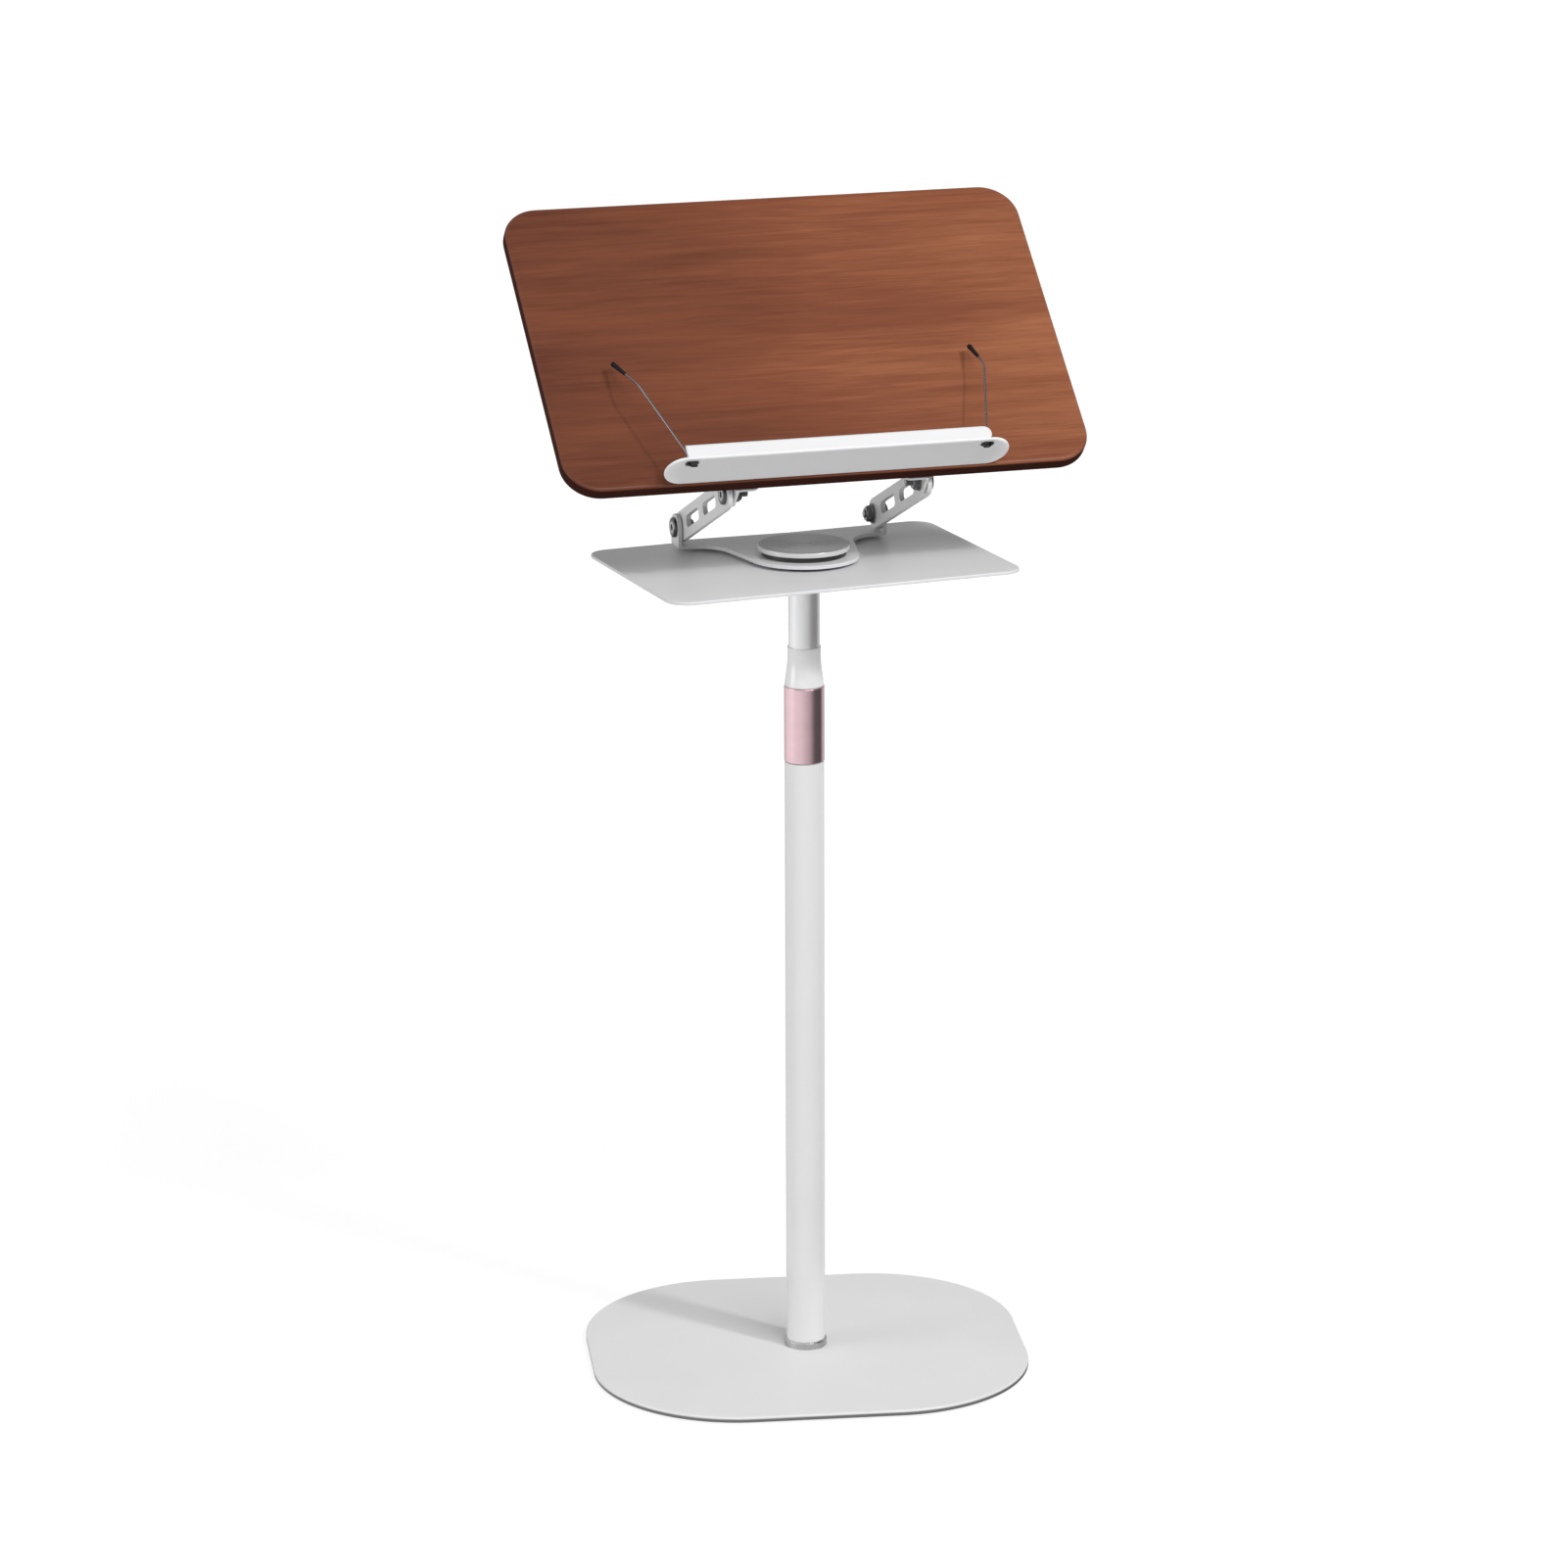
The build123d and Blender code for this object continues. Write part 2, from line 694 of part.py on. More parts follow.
# Pan-head screws of the brackets
with BuildPart() as bracket_screws:
    with BuildSketch(board_back.offset(-bracket_thickness)):
        with Locations(*bracket_screw_spots(-1), *bracket_screw_spots(1)):
            Circle(bracket_screw_head)
    extrude(amount=-bracket_screw_head_height)
    fillet(bracket_screws.faces().group_by(board_axis)[0].edges(), bracket_screw_edge)
    with BuildSketch(board_back.offset(-bracket_thickness)):
        with Locations(*bracket_screw_spots(-1), *bracket_screw_spots(1)):
            Circle(bracket_screw_radius)
    extrude(amount=bracket_thickness + bracket_screw_bite)
write(bracket_screws, "bracket_screws")

# Ledge: the walls run between the round ends of the floor
wall_length = ledge_length - ledge_depth
lip_face = ledge_face.offset(ledge_depth)
wall_foot = ledge_rise - board_depth / 2
walls = (
    (ledge_face, ledge_flange_height, ledge_thickness),
    (lip_face, ledge_lip_height, -ledge_thickness),
)
with BuildPart() as ledge:
    with BuildSketch(ledge_floor):
        with Locations((0, -ledge_depth / 2)):
            SlotOverall(ledge_length, ledge_depth)
    extrude(amount=ledge_thickness)
    for wall_plane, height, thickness in walls:
        with BuildSketch(wall_plane):
            with Locations((0, wall_foot + height / 2)):
                Rectangle(wall_length, height)
            fillet(vertices().sort_by(Axis.Z)[-2:], ledge_corner)
        extrude(amount=thickness)
    under_face = ledge.faces().sort_by(Axis(board_bottom, board_up))[0]
    fillet(under_face.edges(), ledge_edge)
    with BuildSketch(ledge_floor):
        with Locations((-clip_place, -clip_out), (clip_place, -clip_out)):
            SlotOverall(clip_bush_length, clip_bush_width)
    extrude(amount=ledge_thickness, mode=Mode.SUBTRACT)
    with BuildSketch(ledge_face):
        with Locations(*ledge_screw_spots):
            Circle(ledge_screw_radius + running_gap)
    extrude(amount=ledge_thickness, mode=Mode.SUBTRACT)
write(ledge, "ledge")

# Low-head screws of the ledge
with BuildPart() as ledge_screws:
    with BuildSketch(ledge_face.offset(ledge_thickness)):
        with Locations(*ledge_screw_spots):
            Circle(ledge_screw_head)
    extrude(amount=ledge_screw_head_height)
    fillet(ledge_screws.faces().group_by(board_axis)[-1].edges(), ledge_screw_edge)
    with BuildSketch(ledge_face.offset(ledge_thickness)):
        with Locations(*ledge_screw_spots):
            Circle(ledge_screw_radius)
    extrude(amount=-ledge_thickness - ledge_screw_bite)
write(ledge_screws, "ledge_screws")

# Bushes of the page clips, with a rim on the floor of the ledge
with BuildPart() as clip_bushes:
    with BuildSketch(ledge_floor):
        with Locations((-clip_place, -clip_out), (clip_place, -clip_out)):
            SlotOverall(clip_bush_length, clip_bush_width)
    extrude(amount=ledge_thickness)
    with BuildSketch(ledge_floor.offset(ledge_thickness)):
        with Locations((-clip_place, -clip_out), (clip_place, -clip_out)):
            SlotOverall(clip_bush_length + 2 * clip_bush_rim, clip_bush_width + 2 * clip_bush_rim)
    extrude(amount=clip_bush_rim_height)
    with BuildSketch(ledge_floor):
        with Locations((-clip_pin, -clip_out), (clip_pin, -clip_out)):
            Circle(clip_wire_radius + running_gap)
    extrude(amount=ledge_thickness + clip_bush_rim_height, mode=Mode.SUBTRACT)
write(clip_bushes, "clip_bushes")

# Page clips: a foot under the ledge, a straight run through the bush, then two bends up to the cap.
# Corners are given outwards along the ledge, towards the board and up.
# The two wires rest sprung apart, as when they hold pages.
clip_sides = zip((-1, 1), ("left", "right"), clip_knees, clip_tips)
for side, name, knee_place, tip_place in clip_sides:
    outwards = Vector(side, 0, 0)
    pin_foot = ledge_floor.from_local_coords(Vector(side * clip_pin, -clip_out))
    foot_corner = pin_foot - board_up * clip_foot_drop
    foot_end = foot_corner - outwards * clip_foot
    low_corner = pin_foot + board_up * clip_wire_run
    knee = pin_foot + outwards * knee_place[0] - board_out * knee_place[1] + board_up * knee_place[2]
    tip = pin_foot + outwards * tip_place[0] - board_out * tip_place[1] + board_up * tip_place[2]
    wire_end = tip - (tip - knee).normalized() * (clip_cap_length - clip_cap_bore)
    with BuildPart() as clip_wire:
        with BuildLine() as route:
            FilletPolyline(
                foot_end,
                foot_corner,
                low_corner,
                knee,
                wire_end,
                radius=(clip_foot_bend, clip_low_bend, clip_knee_bend),
            )
        with BuildSketch(Plane(origin=route.line @ 0, z_dir=route.line % 0)):
            Circle(clip_wire_radius)
        sweep(path=route.line)
    write(clip_wire, name + "_clip_wire")

    end = route.line @ 1
    along = route.line % 1
    with BuildPart() as clip_cap:
        with BuildSketch(Plane(origin=end - along * clip_cap_bore, z_dir=along)):
            Circle(clip_cap_tail)
        with BuildSketch(Plane(origin=end + along * (clip_cap_length - clip_cap_bore), z_dir=along)):
            Circle(clip_cap_radius)
        loft()
        cap_face = clip_cap.faces().sort_by(Axis(end, along))[-1]
        fillet(cap_face.edges(), clip_cap_radius * clip_cap_dome_share)
        with BuildSketch(Plane(origin=end, z_dir=along)):
            Circle(clip_wire_radius)
        extrude(amount=-clip_cap_bore, mode=Mode.SUBTRACT)
    write(clip_cap, name + "_clip_cap")
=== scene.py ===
import json
import math

import bpy
import numpy as np
from mathutils import Matrix, Vector


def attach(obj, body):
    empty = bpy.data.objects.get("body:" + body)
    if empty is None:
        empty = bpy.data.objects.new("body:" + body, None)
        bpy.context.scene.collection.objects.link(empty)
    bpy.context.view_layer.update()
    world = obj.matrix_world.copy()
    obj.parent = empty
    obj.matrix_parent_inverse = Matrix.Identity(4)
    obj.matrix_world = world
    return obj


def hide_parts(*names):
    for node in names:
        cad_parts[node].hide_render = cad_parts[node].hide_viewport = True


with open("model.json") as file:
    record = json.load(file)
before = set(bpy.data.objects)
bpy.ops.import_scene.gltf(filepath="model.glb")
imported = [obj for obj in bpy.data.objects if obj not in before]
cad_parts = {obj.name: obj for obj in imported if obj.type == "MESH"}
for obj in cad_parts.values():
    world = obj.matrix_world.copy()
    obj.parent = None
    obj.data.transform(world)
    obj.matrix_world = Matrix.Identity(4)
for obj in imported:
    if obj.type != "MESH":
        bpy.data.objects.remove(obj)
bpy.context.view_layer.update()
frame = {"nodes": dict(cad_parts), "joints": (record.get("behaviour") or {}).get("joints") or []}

nodes = frame["nodes"]
joints = {joint["name"]: joint for joint in frame["joints"]}

# Places in the frame. Both axles run from side to side, and the clips turn about lines that run up the board.
millimetre = 0.001
micrometre = 0.000001
liftAxle = np.array(joints["arm_lift"]["pos_m"])
tiltAxle = np.array(joints["board_tilt"]["pos_m"])
swivelPlace = np.array(joints["swivel"]["pos_m"])
upBoard = np.array(joints["left_clip_swing"]["axis"])
offBoard = np.cross((1, 0, 0), upBoard)
boardTilt = math.atan2(upBoard[2], upBoard[1])


# A place on the board, in millimetres from the tilt axle: across the board, up it and out of its face.
def onBoard(across, up, off):
    return tiltAxle + millimetre * (np.array((across, 0, 0)) + up * upBoard + off * offBoard)


# The camera stands where the picture was taken from, left of the stand and above it.
viewpoint = {
    "place": (-1.23476, -3.97670, 1.63239),
    "ahead": (0.28229, 0.92204, -0.26488),
    "lean": 0.2,  # degrees, moves the top of the picture to the left
    "lens": 122.547,  # mm
    "sensor": 36,  # mm
    "nearest": 0.05,
    "farthest": 200,
}


# Right is ahead crossed with the vertical, up is right crossed with ahead, and both turn by the lean.
def setCamera(view):
    camera = bpy.data.objects.new("viewCamera", bpy.data.cameras.new("viewCamera"))
    bpy.context.scene.collection.objects.link(camera)
    ahead = Vector(view["ahead"]).normalized()
    right = ahead.cross(Vector((0, 0, 1))).normalized()
    up = right.cross(ahead)
    lean = math.radians(view["lean"])
    side = right * math.cos(lean) - up * math.sin(lean)
    top = up * math.cos(lean) + right * math.sin(lean)
    turn = Matrix((side, top, -ahead)).transposed().to_4x4()
    camera.matrix_world = Matrix.Translation(view["place"]) @ turn
    camera.data.sensor_width = view["sensor"]
    camera.data.lens = view["lens"]
    camera.data.clip_start = view["nearest"]
    camera.data.clip_end = view["farthest"]
    bpy.context.scene.camera = camera


setCamera(viewpoint)
bpy.context.scene.view_settings.view_transform = "Standard"

lamps = {
    "keyLamp": {"place": (1.85, -2.57, 3.25), "aim": (0, 0, 0.45), "wide": 0.3, "high": 0.3, "power": 44},
    "frontLamp": {"place": (0.75, -2.90, 3.45), "aim": (0, 0, 0.5), "wide": 3.0, "high": 1.4, "power": 88},
    "leftLamp": {"place": (-3.40, 0.13, 1.10), "aim": (0, 0, 0.6), "wide": 1.8, "high": 1.8, "power": 30},
}


# A soft lamp that faces its aim.
def hangLamp(name, lamp):
    light = bpy.data.lights.new(name, "AREA")
    light.shape = "RECTANGLE"
    light.size = lamp["wide"]
    light.size_y = lamp["high"]
    light.energy = lamp["power"]
    made = bpy.data.objects.new(name, light)
    bpy.context.scene.collection.objects.link(made)
    made.location = lamp["place"]
    made.rotation_mode = "QUATERNION"
    made.rotation_quaternion = (Vector(lamp["aim"]) - Vector(lamp["place"])).to_track_quat("-Z", "Y")


for name, lamp in lamps.items():
    hangLamp(name, lamp)


# Fills sockets of a shader node, each with a value or a link.
def fillSockets(tree, node, sockets):
    for name, value in sockets.items():
        if isinstance(value, bpy.types.NodeSocket):
            tree.links.new(value, node.inputs[name])
        else:
            node.inputs[name].default_value = value


# Adds one shader node, sets its options and fills its sockets.
def addNode(tree, kind, sockets, **settings):
    made = tree.nodes.new("ShaderNode" + kind)
    for name, value in settings.items():
        setattr(made, name, value)
    fillSockets(tree, made, sockets)
    return made


# A new material, its node tree, its shader, and the Object coordinates that its pattern reads.
def startFinish(name):
    finish = bpy.data.materials.new(name)
    finish.use_nodes = True
    tree = finish.node_tree
    return finish, tree, tree.nodes["Principled BSDF"], addNode(tree, "TexCoord", {}).outputs["Object"]


# A colour with its alpha: each part times a share, plus a lift, and never above one.
def tone(colour, share=1.0, lift=0.0):
    return (*(min(1.0, part * share + lift) for part in colour), 1.0)


# An even grey with its alpha.
def grey(share):
    return tone((share, share, share))


# Noise in steps per metre, one number for all axes or one for each.
def noise(tree, coords, steps, detail=3.0, rough=0.5):
    scale = steps if isinstance(steps, tuple) else (steps,) * 3
    placed = addNode(tree, "Mapping", {"Vector": coords, "Scale": scale}).outputs["Vector"]
    made = {"Vector": placed, "Scale": 1.0, "Detail": detail, "Roughness": rough}
    return addNode(tree, "TexNoise", made).outputs["Fac"]


# Maps a value from start..stop to low..high, held inside that range.
def spread(tree, value, low, high, start=0.3, stop=0.7):
    made = {"Value": value, "From Min": start, "From Max": stop, "To Min": low, "To Max": high}
    return addNode(tree, "MapRange", made).outputs["Result"]


# The roughness of a look, which a pattern moves from a little smoother to a little duller.
def varyRoughness(tree, pattern, look):
    return spread(tree, pattern, look["roughness"] - look["smoother"], look["roughness"] + look["duller"])


# Mixes two colours by a share.
def mixTone(tree, share, first, second, mode="MIX"):
    return addNode(tree, "Mix", {0: share, 6: first, 7: second}, data_type="RGBA", blend_type=mode).outputs[2]


# One sum on one value or two.
def work(tree, kind, first, second=0.0):
    return addNode(tree, "Math", {0: first, 1: second}, operation=kind).outputs[0]


# How far a point lies from the tilt axle along a direction: the way there, dotted with the direction.
def fromTiltAxle(tree, coords, direction):
    way = addNode(tree, "VectorMath", {0: coords, 1: tuple(tiltAxle)}, operation="SUBTRACT")
    sockets = {0: way.outputs["Vector"], 1: tuple(direction)}
    return addNode(tree, "VectorMath", sockets, operation="DOT_PRODUCT").outputs["Value"]


edgeSamples = 6


# A normal that rounds sharp edges by a small radius, in millimetres.
def softEdge(tree, radius):
    return addNode(tree, "Bevel", {"Radius": radius * millimetre}, samples=edgeSamples).outputs["Normal"]


# A bump of that depth in micrometres, over edges that are rounded.
def relief(tree, height, depth, radius):
    sockets = {"Height": height, "Distance": depth * micrometre, "Normal": softEdge(tree, radius)}
    return addNode(tree, "Bump", sockets).outputs["Normal"]


# The studio. Gloss stops are degrees to the right of the camera's side of the stand, with a share of the
# gloss level: bright at the left, a dark screen at the right, pale elsewhere.
studio = {
    "floorRadius": 30.0,
    "floorCorners": 96,
    "floorGrain": 3,
    "floorDull": 0.985,
    "bounce": 0.65,  # how pale the floor is to the light on the stand
    "seenShare": 0.22,  # how much of the lamps' light and shadow the camera sees on the floor
    "seenGlow": 0.84,  # even glow that the camera sees near the stand
    "farGlow": 0.17,  # what that glow gains farther out
    "glowFrom": 0.5,
    "glowTo": 2.2,
    "sky": 0.35,  # even light on the stand
    "toRight": (0.956, -0.2925),
    "toCamera": (-0.2925, -0.956),
    "glossLevel": 1.25,
    "glossStops": (
        (-180, 0.42), (-140, 0.60), (-112, 0.84), (-80, 0.84), (-55, 0.82), (-30, 0.79), (-10, 0.72),
        (5, 0.60), (28, 0.48), (46, 0.27), (60, 0.10), (108, 0.08), (128, 0.55), (180, 0.42),
    ),
}
white = grey(1.0)


# The angle comes from the parts of a direction to the right and to the camera, and a ramp reads the stops.
def glossAround(tree, vector, look):
    split = addNode(tree, "SeparateXYZ", {"Vector": vector})
    sums = []
    for across, along in (look["toRight"], look["toCamera"]):
        first = work(tree, "MULTIPLY", split.outputs["X"], across)
        sums.append(work(tree, "ADD", first, work(tree, "MULTIPLY", split.outputs["Y"], along)))
    angle = work(tree, "ARCTAN2", sums[0], sums[1])
    ramp = addNode(tree, "ValToRGB", {"Fac": spread(tree, angle, 0, 1, -math.pi, math.pi)})
    stops = ramp.color_ramp
    stops.interpolation = "EASE"
    for place, share in look["glossStops"][1:-1]:  # a new ramp has its end stops already
        stops.elements.new(place / 360 + 0.5).color = grey(share)
    stops.elements[0].color = grey(look["glossStops"][0][1])
    stops.elements[-1].color = grey(look["glossStops"][-1][1])
    return work(tree, "MULTIPLY", ramp.outputs["Color"], look["glossLevel"])


# A disc: each corner is the radius times the cosine and sine of its angle. The paper glows a little more
# with distance for the camera, shows the gloss stops to glossy rays, and is plain for the rest.
def layFloor(look):
    angle = np.linspace(0, 2 * np.pi, look["floorCorners"], endpoint=False)
    corners = np.stack([np.cos(angle), np.sin(angle), 0 * angle], axis=1) * look["floorRadius"]
    mesh = bpy.data.meshes.new("studioFloor")
    mesh.from_pydata(corners.tolist(), [], [list(range(len(angle)))])
    floor = bpy.data.objects.new("studioFloor", mesh)
    bpy.context.scene.collection.objects.link(floor)
    finish, tree, shader, coords = startFinish("palePaper")
    grain = spread(tree, noise(tree, coords, look["floorGrain"]), look["floorDull"], 1.0)
    paper = mixTone(tree, 1.0, grey(look["bounce"]), grain, "MULTIPLY")
    bounced = addNode(tree, "BsdfDiffuse", {"Color": paper}).outputs[0]
    around = glossAround(tree, coords, look)
    mirrored = addNode(tree, "Emission", {"Color": white, "Strength": around}).outputs[0]
    distance = addNode(tree, "VectorMath", {0: coords}, operation="LENGTH").outputs["Value"]
    farthest = look["seenGlow"] + look["farGlow"]
    far = spread(tree, distance, look["seenGlow"], farthest, look["glowFrom"], look["glowTo"])
    shown = addNode(tree, "BsdfDiffuse", {"Color": grey(look["seenShare"])}).outputs[0]
    glow = addNode(tree, "Emission", {"Color": white, "Strength": far}).outputs[0]
    seen = addNode(tree, "AddShader", {0: shown, 1: glow}).outputs[0]
    rays = addNode(tree, "LightPath", {}).outputs
    lit = addNode(tree, "MixShader", {0: rays["Is Glossy Ray"], 1: bounced, 2: mirrored}).outputs[0]
    both = addNode(tree, "MixShader", {0: rays["Is Camera Ray"], 1: lit, 2: seen}).outputs[0]
    tree.links.new(both, tree.nodes["Material Output"].inputs["Surface"])
    mesh.materials.append(finish)


# White to the camera, the gloss stops to glossy rays, and an even pale grey for the light on the stand.
def paintSky(look):
    world = bpy.data.worlds.new("studioSky")
    bpy.context.scene.world = world
    world.use_nodes = True
    tree = world.node_tree
    rays = addNode(tree, "LightPath", {}).outputs
    around = glossAround(tree, addNode(tree, "TexCoord", {}).outputs["Generated"], look)
    lit = addNode(tree, "Mix", {0: rays["Is Glossy Ray"], 2: look["sky"], 3: around}).outputs[0]
    strength = addNode(tree, "Mix", {0: rays["Is Camera Ray"], 2: lit, 3: 1.0}).outputs[0]
    fillSockets(tree, tree.nodes["Background"], {"Color": white, "Strength": strength})


layFloor(studio)
paintSky(studio)
print("reading stand: camera, lamps and floor are set")

# Finishes. Colours are linear and patterns are in steps per metre. Depths of relief are in micrometres,
# rounded edges in millimetres and all other lengths in metres.
paintedBaseShade = {"low": 0.0036, "high": 0.0046, "colour": (0.16, 0.16, 0.16)}  # painted shade: the lower edge of the base is darkened
paintedLedgeHighlight = {  # painted highlight: paler rims round the ends of the ledge
    "middle": -0.0015,  # x of the middle of the ledge
    "reach": 0.1240,  # from there to the middle of each round end
    "off": 0.04594,  # out of the board, from the tilt axle to the middle line of the floor
    "radius": 0.0165,
    "fade": 0.0080,
    "power": 2.0,
    "colour": (0.98, 0.98, 0.985),
}
coatLook = {
    "baseCoat": {"colour": (0.84, 0.84, 0.845), "roughness": 0.46, "depth": 30, "coat": 0.10, "round": 0.7},
    "tubeCoat": {"colour": (0.84, 0.84, 0.845), "roughness": 0.30, "depth": 4, "coat": 1.00, "round": 0.5},
    "shelfCoat": {"colour": (0.77, 0.77, 0.78), "roughness": 0.42, "depth": 26, "coat": 0.12, "round": 0.7},
    "hingeCoat": {"colour": (0.77, 0.77, 0.78), "roughness": 0.40, "depth": 22, "coat": 0.15, "round": 0.7},
    "armCoat": {"colour": (0.79, 0.79, 0.80), "roughness": 0.38, "depth": 22, "coat": 0.15, "round": 0.7},
    "ledgeCoat": {"colour": (0.83, 0.83, 0.84), "roughness": 0.38, "depth": 16, "coat": 0.20, "round": 2.4},
}
coatLook["baseCoat"]["shade"] = paintedBaseShade
coatLook["ledgeCoat"]["ends"] = paintedLedgeHighlight
everyCoat = {
    "clouds": 11, "paler": 1.015, "darker": 0.98,
    "specks": 1700, "speckRange": (0.66, 0.74), "speckTone": (0.45, 0.45, 0.46), "speckShare": 0.08,
    "smears": 9, "smoother": 0.015, "duller": 0.02,
    "bumps": 520, "bumpRough": 0.4, "fineBumps": 2300, "fineShare": 0.25,
    "gloss": 0.5, "coatGloss": 0.5, "coatRoughness": 0.14,
}


# Share of the painted highlight round the ends: a power of the share of the end's radius, no more than one.
def paintedEndHighlight(tree, coords, ends):
    split = addNode(tree, "SeparateXYZ", {"Vector": coords})
    along = work(tree, "ABSOLUTE", work(tree, "SUBTRACT", split.outputs["X"], ends["middle"]))
    past = work(tree, "MAXIMUM", work(tree, "SUBTRACT", along, ends["reach"]), 0.0)
    out = work(tree, "SUBTRACT", fromTiltAxle(tree, coords, offBoard), ends["off"])
    squares = work(tree, "ADD", work(tree, "MULTIPLY", past, past), work(tree, "MULTIPLY", out, out))
    share = work(tree, "DIVIDE", work(tree, "SQRT", squares), ends["radius"])
    rim = work(tree, "MINIMUM", work(tree, "POWER", share, ends["power"]), 1.0)
    return work(tree, "MULTIPLY", rim, spread(tree, past, 0, 1, 0.0, ends["fade"]))


# Satin powder coat: faint clouds in the colour, fine specks, an orange-peel surface and soft edges. Where a
# look asks, it adds painted shade on the base's lower edge and a painted highlight round the ledge's ends.
def powderCoat(name, look):
    finish, tree, shader, coords = startFinish(name)
    cloud = spread(tree, noise(tree, coords, look["clouds"], 4), 0, 1)
    coat = mixTone(tree, cloud, tone(look["colour"], look["darker"]), tone(look["colour"], look["paler"]))
    speck = spread(tree, noise(tree, coords, look["specks"], 1), 0, 1, *look["speckRange"])
    coat = mixTone(tree, work(tree, "MULTIPLY", speck, look["speckShare"]), coat, tone(look["speckTone"]))
    # painted shade: the base's side below a height is darkened
    if "shade" in look:
        lift = addNode(tree, "SeparateXYZ", {"Vector": coords}).outputs["Z"]
        paintedShadeShare = spread(tree, lift, 1, 0, look["shade"]["low"], look["shade"]["high"])
        coat = mixTone(tree, paintedShadeShare, coat, tone(look["shade"]["colour"]))
    # painted highlight: paler rims round the ends of the ledge
    if "ends" in look:
        coat = mixTone(tree, paintedEndHighlight(tree, coords, look["ends"]), coat, tone(look["ends"]["colour"]))
    smear = noise(tree, coords, look["smears"], 2)
    bumps = noise(tree, coords, look["bumps"], 2, look["bumpRough"])
    fine = work(tree, "MULTIPLY", noise(tree, coords, look["fineBumps"], 1), look["fineShare"])
    fillSockets(tree, shader, {
        "Base Color": coat,
        "Roughness": varyRoughness(tree, smear, look),
        "Normal": relief(tree, work(tree, "ADD", bumps, fine), look["depth"], look["round"]),
        "Specular IOR Level": look["gloss"] + look["coatGloss"] * look["coat"],
        "Coat Weight": look["coat"],
        "Coat Roughness": look["coatRoughness"],
    })
    return finish


steelLook = {
    "colour": (0.86, 0.86, 0.87), "darker": 0.985, "clouds": 9, "metal": 0.55,
    "roughness": 0.24, "smoother": 0.02, "duller": 0.03,
    "lines": (900, 900, 6), "depth": 1, "round": 0.5,
}


# Satin finish of the sliding tube, part metal: faint draw lines along it and faint clouds.
def satinSteel(look):
    finish, tree, shader, coords = startFinish("satinSteel")
    lines = noise(tree, coords, look["lines"], 3)
    cloud = spread(tree, noise(tree, coords, look["clouds"], 2), 0, 1)
    fillSockets(tree, shader, {
        "Base Color": mixTone(tree, cloud, tone(look["colour"], look["darker"]), tone(look["colour"])),
        "Roughness": varyRoughness(tree, lines, look),
        "Normal": relief(tree, lines, look["depth"], look["round"]),
        "Metallic": look["metal"],
    })
    return finish


discLook = {
    "colour": (0.26, 0.26, 0.265), "darker": 0.95, "smears": 45,
    "rim": (0.72, 0.72, 0.72), "rimFacing": (0.4, 0.9),  # painted highlight on the rim; rise of a face's normal where it is full and where it is gone at the top
    "roughness": 0.26, "smoother": 0.02, "duller": 0.03, "metal": 0.20, "ringwise": 0.55,
    "rings": 2600, "depth": 1.2, "round": 0.8,
}


# Satin metal turned in rings: the rings follow the distance from the middle of the disc. Faces that point
# sideways at the rim are painted paler than the top, a painted highlight.
def spunDisc(look):
    finish, tree, shader, coords = startFinish("spunDisc")
    split = addNode(tree, "SeparateXYZ", {"Vector": coords})
    flat = addNode(tree, "CombineXYZ", {"X": split.outputs["X"], "Y": split.outputs["Y"]}).outputs[0]
    away = addNode(tree, "VectorMath", {0: flat}, operation="LENGTH").outputs["Value"]
    ring = addNode(tree, "CombineXYZ", {"X": away, "Z": split.outputs["Z"]}).outputs[0]
    rings = noise(tree, ring, (look["rings"], 1, look["rings"]), 3)
    smear = spread(tree, noise(tree, coords, look["smears"], 3), 0, 1)
    top = mixTone(tree, smear, tone(look["colour"], look["darker"]), tone(look["colour"]))
    # painted highlight: by which way a face points, the rim gets the paler colour
    facing = addNode(tree, "SeparateXYZ", {"Vector": addNode(tree, "TexCoord", {}).outputs["Normal"]})
    rim = spread(tree, facing.outputs["Z"], 1, 0, *look["rimFacing"])
    fillSockets(tree, shader, {
        "Base Color": mixTone(tree, rim, top, tone(look["rim"])),
        "Roughness": varyRoughness(tree, rings, look),
        "Normal": relief(tree, rings, look["depth"], look["round"]),
        "Tangent": addNode(tree, "Tangent", {}, direction_type="RADIAL", axis="Z").outputs[0],
        "Metallic": look["metal"],
        "Anisotropic": look["ringwise"],
    })
    return finish


walnutLook = {
    "dark": (0.109, 0.031, 0.016),
    "mid": (0.220, 0.067, 0.031),
    "light": (0.398, 0.147, 0.066),
    "pore": (0.100, 0.030, 0.016),
    "edgeStainAndPaintedShade": (0.040, 0.011, 0.007),
    "back": (0.034, 0.030, 0.027),
    "middle": (0, 131.0, 28.2),  # of the face, in millimetres from the tilt axle
    "halfWidth": 0.216,
    "faceDepth": 0.0010, "faceFade": 0.0010,
    "backDepth": 0.0115, "backFade": 0.0004,
    "paintedSideLight": (0.17, 0.72),  # painted light: the tone from the left edge to the right edge, lighter towards the right
    "drift": 0.016, "driftSteps": (2.4, 6, 3),  # how far the grain wanders
    "figure": (  # steps along and across the grain, detail, and share of the tone
        (3.5, 13, 1, 0.75),  # broad light and dark zones
        (7.0, 105, 2, 0.52),  # streaks
        (20, 420, 2, 0.34),  # fine lines
        (60, 1300, 2, 0.14),  # fibres
    ),
    "pores": (40, 1700, 1), "poreRange": (0.62, 0.72), "poreShare": 0.30,
    "backRange": (0.60, 0.90),  # how much of the back is dulled, from streak to streak
    "faceGloss": 0.20, "edgeGloss": 0.08, "faceCoat": 0.05, "coatRoughness": 0.30,
    "roughness": 0.36, "smoother": 0.0, "duller": 0.11, "edgeDuller": 0.5,
    "fibreRelief": 0.4, "depth": 8, "round": 0.8,
}
